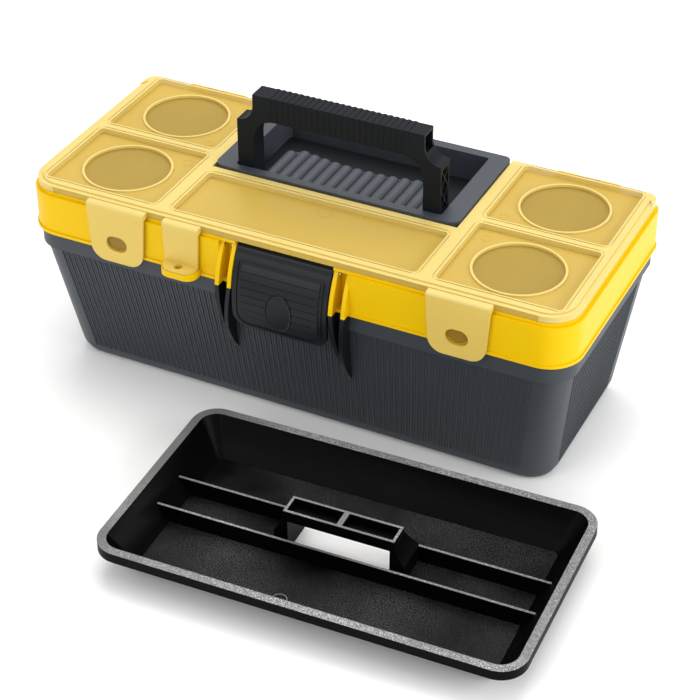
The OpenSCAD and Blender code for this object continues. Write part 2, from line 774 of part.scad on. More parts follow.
module organizer_cover() {
    color(amber) {
        difference() {
            translate([0, 0, cover_z]) linear_extrude(cover_h) cover_plan(0);
            for (p = PANELS) translate([0, 0, panel_z]) linear_extrude(cover_h) rect2d(p, 0, 3);
            // Hollow under the ridges
            translate([0, 0, cover_z - over]) linear_extrude(cover_h - cover_t + over)
                difference() {
                    cover_plan(cover_t);
                    for (p = PANELS) rect2d(p, cover_t, 3);
                }
            // The edge of the cover is stepped
            translate([0, 0, cover_top - step_drop]) linear_extrude(cover_h) difference() {
                plate2d(cover_l + 2 * over, cover_w + 2 * over, front_r, front_r);
                translate([0, (step_w + over) / 2])
                    plate2d(cover_l - 2 * step_w, cover_w - step_w + over,
                            front_r - bead_step - step_w, 2);
            }
            for (i = [0 : 3])
                translate([panel_x(PANELS[i]), (PANELS[i][1] + PANELS[i][3]) / 2, panel_z - 0.5])
                    cylinder(h = 1, r = window_r - 0.8, $fn = 128);
        }
        for (i = [0 : 3]) translate([panel_x(PANELS[i]), (PANELS[i][1] + PANELS[i][3]) / 2, panel_z - eps])
            difference() {
                cylinder(h = 1.2, r = window_r + 0.8, $fn = 128);
                translate([0, 0, -over]) cylinder(h = 4, r = window_r - 0.8, $fn = 128);
            }
        for (s = [-1, 1]) {
            snap_tab(s);
            cover_lug(s);
        }
        padlock_tab();
    }
}

// ---- Latch ----

module latch() {
    color(black) difference() {
        union() {
            intersection() {
                along_x(-latch_half, latch_half) difference() {
                    translate([curve_y, curve_z]) circle(latch_curve_r, $fn = 180);
                    translate([curve_y, curve_z]) circle(latch_curve_r - latch_t, $fn = 180);
                }
                along_y(face_y - 12, face_y + 12) translate([0, (latch_foot + latch_top) / 2])
                    plate2d(latch_w, latch_top - latch_foot, latch_round, 0.5);
            }
            rod(-latch_half, latch_half, latch_axis_y, latch_axis_z, latch_knuckle);
            // Hook under the tub's catch
            box3([-catch_half + 2, face_y - 5.2, hook_top - 3], [catch_half - 2, face_y - 1.2, hook_top]);
        }
        rod(-latch_half - over, latch_half + over, latch_axis_y, latch_axis_z, latch_pin_r + pin_play);
    }
}

module latch_pin() {
    color(steel) rod(-rib_in - rib_t - 1, rib_in + rib_t + 1, latch_axis_y, latch_axis_z, latch_pin_r);
}

// ---- Tray ----

module tray_level(z, inset) {
    translate([0, 0, z]) linear_extrude(eps)
        plate2d(tray_l - 2 * inset, tray_w - 2 * inset, max(tray_r - inset, 4), max(tray_r - inset, 4),
                $fn = hull_fn);
}

module tray_body(inset, z0) {
    hull() {
        tray_level(z0, body_in + body_draft + 3 + inset);
        tray_level(z0 + 3, body_in + body_draft + inset);
        tray_level(tray_h - eps, body_in + inset);
    }
}

module tray_rim() {
    translate([0, 0, tray_h - tray_wall]) linear_extrude(tray_wall) difference() {
        plate2d(tray_l, tray_w, tray_r, tray_r);
        plate2d(tray_l - 2 * (body_in + tray_wall), tray_w - 2 * (body_in + tray_wall),
                tray_r - body_in - tray_wall, tray_r - body_in - tray_wall);
    }
    translate([0, 0, tray_h - skirt_h]) linear_extrude(skirt_h) difference() {
        plate2d(tray_l, tray_w, tray_r, tray_r);
        plate2d(tray_l - 2 * tray_wall, tray_w - 2 * tray_wall, tray_r - tray_wall, tray_r - tray_wall);
    }
}

// One leg of the carrying bar flares outwards in an arc, down to the dividers' height
module tray_leg_side() {
    drop = bar_top - divider_h;
    arc_r = (leg_flare * leg_flare + drop * drop) / (2 * leg_flare);
    difference() {
        translate([bar_l / 2 - leg_t, 0.5]) square([leg_t + leg_flare, bar_top - 0.5]);
        translate([bar_l / 2 + arc_r, bar_top]) circle(arc_r);
    }
}

module tray_local() {
    rear_face = channel_y + channel_w / 2 + tray_wall;
    inner_half = bar_l / 2 - leg_t;
    difference() {
        union() {
            difference() {
                tray_body(0, 0);
                tray_body(tray_wall, tray_wall);
            }
            tray_rim();
            // Two long dividers leave a middle channel
            intersection() {
                tray_body(tray_wall / 2, 0.2);
                for (s = [-1, 1]) translate([0, channel_y + s * (channel_w + tray_wall) / 2, 0])
                    box3([-tray_l / 2, -tray_wall / 2, 0.5], [tray_l / 2, tray_wall / 2, divider_h]);
            }
            // Carrying bar with its legs
            translate([bar_x, 0, 0]) {
                intersection() {
                    for (m = [0, 1]) mirror([m, 0, 0])
                        along_y(bar_y - bar_w / 2, rear_face) tray_leg_side();
                    // Behind the bar the legs slope down to the rear divider
                    along_x(-bar_l, bar_l) polygon([
                        [bar_y - bar_w / 2 - over, 0], [bar_y - bar_w / 2 - over, bar_top + over],
                        [bar_y + bar_w / 2, bar_top + over], [bar_y + bar_w / 2, bar_top - 3],
                        [rear_face + over, divider_h], [rear_face + over, 0]]);
                }
                box3([-bar_l / 2, bar_y - bar_w / 2, bar_top - bar_h],
                     [bar_l / 2, bar_y + bar_w / 2, bar_top]);
            }
        }
        translate([bar_x, 0, 0]) {
            // Recess in the bar's top, split by one rib
            for (s = [-1, 1]) translate([s * bar_l / 4, bar_y, 0])
                box3([-bar_l / 4 + bar_wall, -bar_w / 2 + bar_wall, bar_top - bar_h + 2],
                     [bar_l / 4 - bar_wall, bar_w / 2 - bar_wall, bar_top + over]);
            // Window under and behind the bar
            box3([-inner_half, channel_y - channel_w / 2, -over],
                 [inner_half, window_back, bar_top - bar_h]);
        }
    }
}

module tray() {
    color(black) translate([tray_x, tray_y, 0]) rotate([0, 0, tray_turn]) tray_local();
}

module hinge_pin_left() { hinge_pin(-1); }
module hinge_pin_right() { hinge_pin(1); }
module cover_pin_left() { cover_pin(-1); }
module cover_pin_right() { cover_pin(1); }
module handle_pin_left() { handle_pin(-1); }
module handle_pin_right() { handle_pin(1); }

base_tub();
hinge_pin_left();
hinge_pin_right();
lid_shell();
handle_well();
well_screws();
divider_rear_left();
divider_rear_right();
divider_front_left();
divider_front_right();
divider_long_left();
divider_long_right();
organizer_cover();
cover_pin_left();
cover_pin_right();
handle();
handle_pin_left();
handle_pin_right();
latch();
latch_pin();
tray();
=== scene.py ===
# %% [markdown]
# # A toolbox with an organizer lid and a lift-out tray
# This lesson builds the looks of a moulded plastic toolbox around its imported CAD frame. The frame
# says where each part is and how it moves. The cells below give each part its finish, and add the
# fine relief that a moulding tool leaves: ribs, grooves, beads and rounded edges.

# %% Load the frame
import math

import bmesh
import bpy
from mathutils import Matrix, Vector


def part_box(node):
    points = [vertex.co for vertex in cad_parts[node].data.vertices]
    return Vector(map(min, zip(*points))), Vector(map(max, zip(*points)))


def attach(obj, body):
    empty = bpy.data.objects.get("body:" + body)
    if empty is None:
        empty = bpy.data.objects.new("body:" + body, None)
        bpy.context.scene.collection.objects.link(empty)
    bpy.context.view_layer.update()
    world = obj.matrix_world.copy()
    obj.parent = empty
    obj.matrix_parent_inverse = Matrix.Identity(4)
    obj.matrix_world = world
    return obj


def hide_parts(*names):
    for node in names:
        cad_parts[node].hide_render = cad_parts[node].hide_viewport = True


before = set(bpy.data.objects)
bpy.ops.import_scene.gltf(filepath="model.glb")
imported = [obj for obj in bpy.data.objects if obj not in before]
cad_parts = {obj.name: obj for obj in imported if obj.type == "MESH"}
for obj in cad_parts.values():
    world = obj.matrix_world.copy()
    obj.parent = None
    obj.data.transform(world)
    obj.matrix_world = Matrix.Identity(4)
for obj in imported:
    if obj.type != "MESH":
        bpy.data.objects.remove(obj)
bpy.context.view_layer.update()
MM = 0.001

# %% [markdown]
# ## Camera and light
# A long lens, held above the front corner, keeps the edges of a box nearly parallel. The camera is
# placed by its own position and the point that it looks at, because two points are easier to judge
# than three angles. The light is soft: a large lamp above and behind gives the tops of the plastic
# their sheen, one on the right lights the end of the box, and a weak one fills the front.

# %% Camera
LENS_MM = 103.2
SENSOR_MM = 36.0
FAR_CLIP = 20.0
CAMERA_PLACE = (0.51537, -1.04833, 0.85071)
LOOKS_AT = Vector((0.00701, 0.0, 0.01628))

camera_data = bpy.data.cameras.new("camera")
camera_data.lens = LENS_MM
camera_data.sensor_width = SENSOR_MM
camera_data.clip_end = FAR_CLIP
camera = bpy.data.objects.new("camera", camera_data)
bpy.context.scene.collection.objects.link(camera)
camera.location = CAMERA_PLACE
sight = LOOKS_AT - camera.location
camera.rotation_euler = sight.to_track_quat("-Z", "Y").to_euler()
bpy.context.scene.camera = camera
print("camera distance:", round(sight.length, 3), "m")

# %% Lamps and sky
BOX_MIDDLE = Vector((0.0, 0.0, 0.1))
LAMPS = [
    ("softbox_top", (-0.2, 0.7, 1.9), 1.6, 26.0),
    ("softbox_right", (1.9, -0.1, 0.9), 1.0, 22.0),
    ("softbox_front", (-0.7, -1.8, 1.3), 1.2, 12.0),
]
WHITE = (1.0, 1.0, 1.0, 1.0)
SKY_STRENGTH = 0.80


def softbox(name, place, size, power):
    """A square area lamp that faces the middle of the box."""
    data = bpy.data.lights.new(name, "AREA")
    data.shape = "SQUARE"
    data.size = size
    data.energy = power
    lamp = bpy.data.objects.new(name, data)
    bpy.context.scene.collection.objects.link(lamp)
    lamp.location = place
    lamp.rotation_euler = (BOX_MIDDLE - Vector(place)).to_track_quat("-Z", "Y").to_euler()


for lamp_row in LAMPS:
    softbox(*lamp_row)

sky = bpy.data.worlds.new("studio")
sky.use_nodes = True
backdrop = sky.node_tree.nodes["Background"]
backdrop.inputs["Color"].default_value = WHITE
backdrop.inputs["Strength"].default_value = SKY_STRENGTH
bpy.context.scene.world = sky
bpy.context.scene.view_settings.view_transform = "Standard"
print("lamps:", len(LAMPS))

# %% [markdown]
# ## Materials
# Moulded plastic is never one flat colour. The steel of the mould is spark-eroded, which leaves a
# fine grain, and the melt leaves slow changes of tone and gloss. One node group makes both from
# noise on Object coordinates, so that every plastic below can use it at its own scale.

# %% Helpers for node trees
def link_nodes(tree, source, output, target, socket):
    """Links one node's output to another node's input."""
    tree.links.new(source.outputs[output], target.inputs[socket])


def group_socket(group, name, direction, kind, value=None):
    """Adds one named socket to a node group."""
    socket = group.interface.new_socket(name=name, in_out=direction, socket_type=kind)
    if value is not None:
        socket.default_value = value


def noise_on_object(tree, place, detail):
    """A noise texture that reads Object coordinates."""
    noise = tree.nodes.new("ShaderNodeTexNoise")
    noise.inputs["Detail"].default_value = detail
    link_nodes(tree, place, "Object", noise, "Vector")
    return noise


def math_node(tree, operation):
    node = tree.nodes.new("ShaderNodeMath")
    node.operation = operation
    return node


def vector_node(tree, operation):
    node = tree.nodes.new("ShaderNodeVectorMath")
    node.operation = operation
    return node


def masked(tree, noise, low, high):
    """A mask that rises from 0 to 1 while the noise goes from low to high."""
    span = tree.nodes.new("ShaderNodeMapRange")
    span.inputs["From Min"].default_value = low
    span.inputs["From Max"].default_value = high
    link_nodes(tree, noise, "Fac", span, "Value")
    return span


# %% Tone and gloss that drift with a cloud
def add_tone(group, inputs, centred):
    """The colour, lightened and darkened by the cloud."""
    tone = math_node(group, "MULTIPLY_ADD")
    tone.inputs[2].default_value = 1.0
    link_nodes(group, centred, "Value", tone, 0)
    link_nodes(group, inputs, "Tone Change", tone, 1)
    shade = vector_node(group, "SCALE")
    link_nodes(group, inputs, "Color", shade, 0)
    link_nodes(group, tone, "Value", shade, "Scale")
    return shade


def add_gloss(group, inputs, centred):
    """The roughness, raised and lowered by the cloud."""
    gloss = math_node(group, "MULTIPLY_ADD")
    link_nodes(group, centred, "Value", gloss, 0)
    link_nodes(group, inputs, "Gloss Change", gloss, 1)
    link_nodes(group, inputs, "Roughness", gloss, 2)
    return gloss


# %% Painted glints on the tops of the grain
GRAIN_TOPS = (0.50, 0.72)
CLOUD_PATCHES = (0.36, 0.68)


def add_painted_glints(group, inputs, grain, cloud, shade):
    """Adds pale specks where the grain is high, in patches that follow the cloud: painted glints,
    the light that the grain's tops catch.
    """
    tops = masked(group, grain, *GRAIN_TOPS)
    patches = masked(group, cloud, *CLOUD_PATCHES)
    specks = math_node(group, "MULTIPLY")
    link_nodes(group, tops, "Result", specks, 0)
    link_nodes(group, patches, "Result", specks, 1)
    amount = math_node(group, "MULTIPLY")
    link_nodes(group, specks, "Value", amount, 0)
    link_nodes(group, inputs, "Glint Speckle", amount, 1)
    lifted = vector_node(group, "ADD")
    link_nodes(group, shade, "Vector", lifted, 0)
    link_nodes(group, amount, "Value", lifted, 1)
    return lifted


# %% The mould-grain group
FLOAT = "NodeSocketFloat"
COLOR = "NodeSocketColor"
GRAIN_INPUTS = [
    ("Color", COLOR, (0.5, 0.5, 0.5, 1.0)),
    ("Grain Scale", FLOAT, 900.0),
    ("Cloud Scale", FLOAT, 9.0),
    ("Tone Change", FLOAT, 0.08),
    ("Roughness", FLOAT, 0.5),
    ("Gloss Change", FLOAT, 0.1),
    ("Glint Speckle", FLOAT, 0.0),
]
GRAIN_OUTPUTS = [("Color", COLOR), ("Roughness", FLOAT), ("Height", FLOAT)]
GRAIN_DETAIL = 2.0
CLOUD_DETAIL = 3.0
NOISE_MIDDLE = 0.5


def build_mould_grain():
    """Grain height, a tinted colour and a roughness that change over the surface."""
    group = bpy.data.node_groups.new("mould_grain", "ShaderNodeTree")
    for name, kind, value in GRAIN_INPUTS:
        group_socket(group, name, "INPUT", kind, value)
    for name, kind in GRAIN_OUTPUTS:
        group_socket(group, name, "OUTPUT", kind)
    inputs = group.nodes.new("NodeGroupInput")
    outputs = group.nodes.new("NodeGroupOutput")
    place = group.nodes.new("ShaderNodeTexCoord")
    grain = noise_on_object(group, place, GRAIN_DETAIL)
    cloud = noise_on_object(group, place, CLOUD_DETAIL)
    link_nodes(group, inputs, "Grain Scale", grain, "Scale")
    link_nodes(group, inputs, "Cloud Scale", cloud, "Scale")
    centred = math_node(group, "SUBTRACT")
    centred.inputs[1].default_value = NOISE_MIDDLE
    link_nodes(group, cloud, "Fac", centred, 0)
    shade = add_tone(group, inputs, centred)
    lifted = add_painted_glints(group, inputs, grain, cloud, shade)
    gloss = add_gloss(group, inputs, centred)
    link_nodes(group, lifted, "Vector", outputs, "Color")
    link_nodes(group, gloss, "Value", outputs, "Roughness")
    link_nodes(group, grain, "Fac", outputs, "Height")
    return group


mould_grain = build_mould_grain()
print("group:", mould_grain.name, "with", len(GRAIN_INPUTS), "inputs")


# %% A plastic material from the group
BUMP_STRENGTH = 0.6
PLASTIC_IOR = 1.49


def plastic(name, color, roughness, grain_scale, grain_depth, tone=0.16, gloss=0.2,
            glint_speckle=0.0, alpha=1.0, specular=0.5):
    """A moulded plastic: grain_depth is in metres."""
    material = bpy.data.materials.new(name)
    material.use_nodes = True
    tree = material.node_tree
    surface = tree.nodes["Principled BSDF"]
    group = tree.nodes.new("ShaderNodeGroup")
    group.node_tree = mould_grain
    group.inputs["Color"].default_value = (*color, 1.0)
    group.inputs["Grain Scale"].default_value = grain_scale
    group.inputs["Tone Change"].default_value = tone
    group.inputs["Roughness"].default_value = roughness
    group.inputs["Gloss Change"].default_value = gloss
    group.inputs["Glint Speckle"].default_value = glint_speckle
    bump = tree.nodes.new("ShaderNodeBump")
    bump.inputs["Distance"].default_value = grain_depth
    bump.inputs["Strength"].default_value = BUMP_STRENGTH
    link_nodes(tree, group, "Color", surface, "Base Color")
    link_nodes(tree, group, "Roughness", surface, "Roughness")
    link_nodes(tree, group, "Height", bump, "Height")
    link_nodes(tree, bump, "Normal", surface, "Normal")
    surface.inputs["Alpha"].default_value = alpha
    surface.inputs["Specular IOR Level"].default_value = specular
    surface.inputs["IOR"].default_value = PLASTIC_IOR
    return material


# %% The tub, the lid and the well
SLATE = plastic("slate_plastic", (0.040, 0.047, 0.056), roughness=0.46, grain_scale=1400.0,
                grain_depth=0.00005, specular=0.30)
YELLOW = plastic("yellow_plastic", (0.78, 0.49, 0.001), roughness=0.36, grain_scale=1200.0,
                 grain_depth=0.00001, tone=0.06, specular=0.12)
WELL_GREY = plastic("well_plastic", (0.042, 0.048, 0.060), roughness=0.42, grain_scale=700.0,
                    grain_depth=0.00016, specular=0.4)
# A darker finish for the well's floor: painted shade, as little light reaches it.
WELL_FLOOR_SHADE = plastic("well_floor_shade", (0.008, 0.009, 0.011), roughness=0.55, grain_scale=700.0,
                    grain_depth=0.00016, specular=0.15)
print("tub, lid and well:", SLATE.name, YELLOW.name, WELL_GREY.name, WELL_FLOOR_SHADE.name)

# %% The amber of the cover
AMBER = plastic("amber_cover", (0.66, 0.46, 0.090), roughness=0.34, grain_scale=1500.0,
                grain_depth=0.00006, tone=0.16, alpha=0.66, specular=0.3)
# A paler amber for the ridges, the window rings and the front edge: painted highlight on the raised
# edges.
AMBER_RIDGE_HIGHLIGHT = plastic("amber_ridge_highlight", (0.74, 0.57, 0.175), roughness=0.32, grain_scale=1500.0,
                      grain_depth=0.00004, tone=0.12, alpha=0.86, specular=0.35)
# A pale amber for the lips round the panels: painted highlight on the raised lip.
AMBER_LIP_HIGHLIGHT = plastic("amber_lip_highlight", (0.86, 0.76, 0.42), roughness=0.30, grain_scale=1500.0,
                     grain_depth=0.00004, tone=0.06, alpha=0.92, specular=0.4)
AMBER_TAB = plastic("amber_tab", (0.74, 0.53, 0.115), roughness=0.36, grain_scale=1500.0,
                    grain_depth=0.00005, tone=0.12, alpha=0.92, specular=0.3)
# The windows' amber is darker than the panels'. The clear plastic is real, and part of the darkness
# is painted shade from inside the bins seen through them.
AMBER_CLEAR_SHADED = plastic("amber_window_shaded", (0.38, 0.27, 0.045), roughness=0.14, grain_scale=500.0,
                      grain_depth=0.000004, tone=0.25, alpha=0.36, specular=0.4)
# A dark amber for the buttons: painted shade in the holes of the snap tabs.
AMBER_BUTTON_SHADE = plastic("amber_button_shade", (0.26, 0.15, 0.010), roughness=0.40, grain_scale=900.0,
                     grain_depth=0.00010, specular=0.3)
print("ambers: panels, ridges, lips, tabs, windows and buttons")

# %% The blacks of the handle, the latch and the tray
BLACK = plastic("handle_plastic", (0.007, 0.009, 0.0115), roughness=0.42, grain_scale=1300.0,
                grain_depth=0.00004, specular=0.09)
LATCH_BLACK = plastic("latch_plastic", (0.008, 0.0105, 0.0125), roughness=0.36, grain_scale=1300.0,
                      grain_depth=0.00004, specular=0.20)
# A lighter black for the latch's frame: painted highlight on its raised edge.
LATCH_EDGE_HIGHLIGHT = plastic("latch_edge_highlight", (0.020, 0.024, 0.028), roughness=0.34, grain_scale=1300.0,
                     grain_depth=0.00004, specular=0.4)
TRAY_BLACK = plastic("tray_plastic", (0.0012, 0.0012, 0.0013), roughness=0.45, grain_scale=1100.0,
                     grain_depth=0.00022, gloss=0.35, specular=0.05)
# The tray's floor gets pale specks, which are painted glints on its grain.
TRAY_FLOOR = plastic("tray_floor", (0.0018, 0.0018, 0.002), roughness=0.45, grain_scale=1700.0,
                     grain_depth=0.00022, gloss=0.35, glint_speckle=0.22, specular=0.06)
# A paler grey for the tray's level tops: painted highlight, with pale specks that are painted
# glints.
TRAY_TOP_HIGHLIGHT = plastic("tray_rim", (0.13, 0.13, 0.13), roughness=0.45, grain_scale=1900.0,
                   grain_depth=0.00022, gloss=0.35, glint_speckle=0.9, specular=0.2)
print("blacks: handle, latch and tray")

# %% [markdown]
# ## Steel for the pins
# The hinge pins are drawn wire, and drawing leaves fine lines. A noise that is stretched by a
# Mapping node makes them, and it changes only the roughness, as the lines on real wire do.

# %% Drawn steel for the pins
STEEL_COLOR = (0.56, 0.56, 0.55, 1.0)
LINE_STRETCH = (2500.0, 120.0, 120.0)
STEEL_ROUGHNESS = (0.2, 0.45)


def build_steel():
    """Bright wire with fine lines round it."""
    material = bpy.data.materials.new("drawn_steel")
    material.use_nodes = True
    tree = material.node_tree
    surface = tree.nodes["Principled BSDF"]
    surface.inputs["Metallic"].default_value = 1.0
    surface.inputs["Base Color"].default_value = STEEL_COLOR
    place = tree.nodes.new("ShaderNodeTexCoord")
    stretch = tree.nodes.new("ShaderNodeMapping")
    stretch.inputs["Scale"].default_value = LINE_STRETCH
    lines = tree.nodes.new("ShaderNodeTexNoise")
    lines.inputs["Scale"].default_value = 1.0
    link_nodes(tree, place, "Object", stretch, "Vector")
    link_nodes(tree, stretch, "Vector", lines, "Vector")
    span = tree.nodes.new("ShaderNodeMapRange")
    span.inputs["To Min"].default_value = STEEL_ROUGHNESS[0]
    span.inputs["To Max"].default_value = STEEL_ROUGHNESS[1]
    link_nodes(tree, lines, "Fac", span, "Value")
    link_nodes(tree, span, "Result", surface, "Roughness")
    return material


STEEL = build_steel()
print("metal:", STEEL.name)

# %% [markdown]
# ## Rounded copies of the frame's parts
# No moulded edge is sharp: the melt rounds it, and the round catches the light. The frame's meshes
# are loose triangles, so each part is copied, its doubles are merged, and its flat faces are
# dissolved to whole ones. A Bevel modifier then rounds each real edge, and hardened normals keep
# the flats flat. The copy stands for the frame's node, and rides on its body.

# %% A finish and a place on a body
def finish_piece(piece, body, material, nodes=()):
    """Puts a piece on its body with its finish, and hides the CAD nodes it stands for."""
    piece.data.materials.clear()
    piece.data.materials.append(material)
    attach(piece, body)
    if nodes:
        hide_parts(*nodes)
    return piece


def new_piece(name, bm):
    """Turns a bmesh into an object at the origin."""
    mesh = bpy.data.meshes.new(name)
    bm.to_mesh(mesh)
    bm.free()
    piece = bpy.data.objects.new(name, mesh)
    bpy.context.scene.collection.objects.link(piece)
    return piece


# %% Smooth faces and rounded edges
ROUND_FROM = 32.0    # an edge that turns by more degrees than this is a real edge


def smooth_by_angle(bm, degrees):
    """Smooth faces, with an edge kept sharp where it turns more than the angle."""
    for face in bm.faces:
        face.smooth = True
    limit = math.radians(degrees)
    for edge in bm.edges:
        edge.smooth = len(edge.link_faces) == 2 and edge.calc_face_angle(0.0) < limit


def round_edges(piece, width):
    """A Bevel modifier on the real edges of a piece."""
    bevel = piece.modifiers.new("rounding", "BEVEL")
    bevel.width = width
    bevel.segments = 2
    bevel.limit_method = "ANGLE"
    bevel.angle_limit = math.radians(ROUND_FROM)
    bevel.harden_normals = True
    bevel.use_clamp_overlap = True
    bevel.miter_outer = "MITER_ARC"


# %% A rounded copy that stands for a node
MERGE_WITHIN = 2e-6
FLAT_WITHIN = 0.4    # degrees


def merged_copy(node):
    """A bmesh of a CAD node with its doubles merged and its flats made whole."""
    bm = bmesh.new()
    bm.from_mesh(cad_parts[node].data)
    bmesh.ops.remove_doubles(bm, verts=bm.verts, dist=MERGE_WITHIN)
    bmesh.ops.dissolve_limit(bm, angle_limit=math.radians(FLAT_WITHIN), verts=bm.verts,
                             edges=bm.edges)
    return bm


def rounded_copy(name, node, body, slot, material, width):
    """Copies a node, rounds it by a width, and lets the copy stand for it."""
    bm = merged_copy(node)
    smooth_by_angle(bm, ROUND_FROM)
    piece = new_piece(name, bm)
    round_edges(piece, width)
    finish_piece(piece, body, material, [node])
    print(name, "has", len(piece.data.polygons), "faces before rounding")


# %% Round the seven moulded parts
ROUNDED = [
    ("tub_shell", "base_tub", "base", "tub", SLATE, 0.0005),
    ("lid_body", "lid_shell", "lid", "lid", YELLOW, 0.0004),
    ("well_frame", "handle_well", "lid", "well", WELL_GREY, 0.0006),
    ("cover_sheet", "organizer_cover", "cover", "cover", AMBER, 0.0005),
    ("handle_bail", "handle", "handle", "handle", BLACK, 0.0008),
    ("latch_plate", "latch", "latch", "latch", LATCH_BLACK, 0.0005),
    ("tray_body", "tray", "tray", "tray", TRAY_BLACK, 0.0005),
]
for rounded_row in ROUNDED:
    rounded_copy(*rounded_row)

# %% [markdown]
# ## Four tones in one cover
# The cover is one moulding, but it isn't one tone. Its panels are frosted, its snap tabs are thick
# and nearly solid, and its ridges are double walls. The ridges, the rings round the windows and the
# front edge get a paler amber, which is painted highlight on the raised edges. The round windows
# are polished, so they show the bins, and their darker tint is partly painted shade from inside the
# bins. The faces are sorted by where they are, and each kind gets its own material slot, because
# one mesh with four slots stays one moulding.

# %% Where each kind of face is
WINDOW_R = 0.0299
WINDOW_CENTRES = [(x, y) for x in (-0.145, 0.145) for y in (0.0447, -0.0373)]
WINDOW_Z = 0.1458
WINDOW_Z_PLAY = 0.0002
WINDOW_RING_R = 0.0306
WINDOW_RING_PLAY = 0.0012
RIDGE_FROM = 0.1468
RIDGE_FRONT = -0.0838
TAB_FRONT = -0.0845
TAB_BEND_Z = 0.1462
LEVEL = 0.9          # a face whose normal's z is more than this is level
PANEL, RIDGE, WINDOW, TAB = range(4)


def cover_tone(face):
    """The slot of one face of the cover."""
    centre = face.center
    near = min(math.hypot(centre.x - x, centre.y - y) for x, y in WINDOW_CENTRES)
    at_window = abs(face.normal.z) > LEVEL and abs(centre.z - WINDOW_Z) < WINDOW_Z_PLAY
    if near < WINDOW_R and at_window:
        return WINDOW
    if centre.y < TAB_FRONT and centre.z < TAB_BEND_Z:
        return TAB
    # Window rings, ridge tops and the front edge take the paler amber, which is painted highlight.
    at_ring = abs(near - WINDOW_RING_R) < WINDOW_RING_PLAY
    if centre.z > RIDGE_FROM or centre.y < RIDGE_FRONT or at_ring:
        return RIDGE
    return PANEL


# %% Sort the cover's faces
cover_sheet = bpy.data.objects["cover_sheet"]
for tone in (AMBER_RIDGE_HIGHLIGHT, AMBER_CLEAR_SHADED, AMBER_TAB):
    cover_sheet.data.materials.append(tone)
for face in cover_sheet.data.polygons:
    face.material_index = cover_tone(face)
print("window faces:", sum(face.material_index == WINDOW for face in cover_sheet.data.polygons))

# %% [markdown]
# ## Dark horns on the tub
# Two thin horns run down the tub beside the latch. They stand in each other's shade and look
# nearly black, so their faces get the latch's finish. They are found by how far they stand out
# from the tapered wall, which is worked out from its half sizes at the foot and at the rim.

# %% The tapered wall, and the horns in front of it
FOOT_HALF = Vector((0.183, 0.064))
RIM_HALF = Vector((0.196, 0.082))
RIM_Z = 0.100
HORN_SPAN = (0.0355, 0.0485)
HORN_PROUD = 0.0015
HORN_TOP = 0.1115


def wall_half(z):
    """Half length and half width of the tapered wall at a height."""
    return FOOT_HALF.lerp(RIM_HALF, z / RIM_Z)


tub_shell = bpy.data.objects["tub_shell"]
tub_shell.data.materials.append(LATCH_BLACK)
for face in tub_shell.data.polygons:
    centre = face.center
    in_front = centre.y < -wall_half(centre.z).y - HORN_PROUD
    if HORN_SPAN[0] < abs(centre.x) < HORN_SPAN[1] and in_front and centre.z < HORN_TOP:
        face.material_index = 1
print("horn faces:", sum(face.material_index for face in tub_shell.data.polygons))

# %% [markdown]
# ## A dark well floor, and lit tops on the tray
# Little light reaches the floor of the handle's well, so its dark finish is painted shade. The
# level tops of the tray's rim, its dividers and its bar are painted a paler grey than its walls,
# which is painted highlight where they face the lamps, and its floor gets pale specks of painted
# glint. Each is a set of level faces at known heights, so the height alone sorts them.

# %% Sort the faces of the well and the tray
WELL_FLOOR_Z = 0.1315
well_frame = bpy.data.objects["well_frame"]
well_frame.data.materials.append(WELL_FLOOR_SHADE)
# Faces below the floor height take the darker finish, which is painted shade.
for face in well_frame.data.polygons:
    if face.center.z < WELL_FLOOR_Z:
        face.material_index = 1

EDGE_HEIGHTS = (0.026, 0.0325, 0.014)    # rim, carrying bar, dividers
EDGE_PLAY = 0.0004
TRAY_FLOOR_Z = 0.004
RIM_SLOT = 1
FLOOR_SLOT = 2
tray_body = bpy.data.objects["tray_body"]
tray_body.data.materials.append(TRAY_TOP_HIGHLIGHT)
tray_body.data.materials.append(TRAY_FLOOR)
# The level tops of the rim, bar and dividers take the paler grey, a painted highlight; the level
# floor takes the finish with pale specks, which are painted glints.
for face in tray_body.data.polygons:
    near_edge = min(abs(face.center.z - height) for height in EDGE_HEIGHTS)
    if face.normal.z > LEVEL and near_edge < EDGE_PLAY:
        face.material_index = RIM_SLOT
    elif face.normal.z > LEVEL and face.center.z < TRAY_FLOOR_Z:
        face.material_index = FLOOR_SLOT
# The count below is of the level tops that carry the painted highlight.
print("worn tray faces:", sum(face.material_index == RIM_SLOT for face in tray_body.data.polygons))

# %% [markdown]
# ## The small parts
# Pins, screws and dividers are plain and mostly hidden, so the frame's own meshes stay as they are
# and only get a finish.

# %% Finishes for the small nodes that stay
for node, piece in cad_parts.items():
    if "pin" in node or node == "well_screws":
        piece.data.materials.clear()
        piece.data.materials.append(STEEL)
    elif node.startswith("divider"):
        piece.data.materials.clear()
        piece.data.materials.append(AMBER)
print("frame nodes:", len(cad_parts))

# %% [markdown]
# ## Ribs on the tub
# The real tub has fine upright ribs on its flat walls, which stiffen the thin plastic and hide
# scratches. They could be painted on as bump, but a rib that catches the light at its edge has to
# be real. Each rib is one cube, pinched at its outer face, that leans with the tapered wall.

# %% One rib along a slanted wall
RIB_PINCH = 0.45
RIB_SINK = 0.3 * MM


def wall_rib(bm, foot, head, across, outward, width, depth):
    """A closed bar from foot to head, narrower at its outer face."""
    made = bmesh.ops.create_cube(bm, size=1.0)["verts"]
    for vert in made:
        a, b, c = vert.co
        pinch = RIB_PINCH if b > 0 else 1.0
        middle = foot.lerp(head, c + 0.5)
        vert.co = middle + across * (a * width * pinch) + outward * ((b + 0.5) * depth - RIB_SINK)


# %% The ribs on all four walls
WALL_LOW = 0.0105
WALL_HIGH = 0.0984
RIB_PITCH = 0.00215
CORNER = 0.0205
WIDE_RIB = (1.35 * MM, 0.95 * MM)      # width and depth
NARROW_RIB = (0.95 * MM, 0.60 * MM)


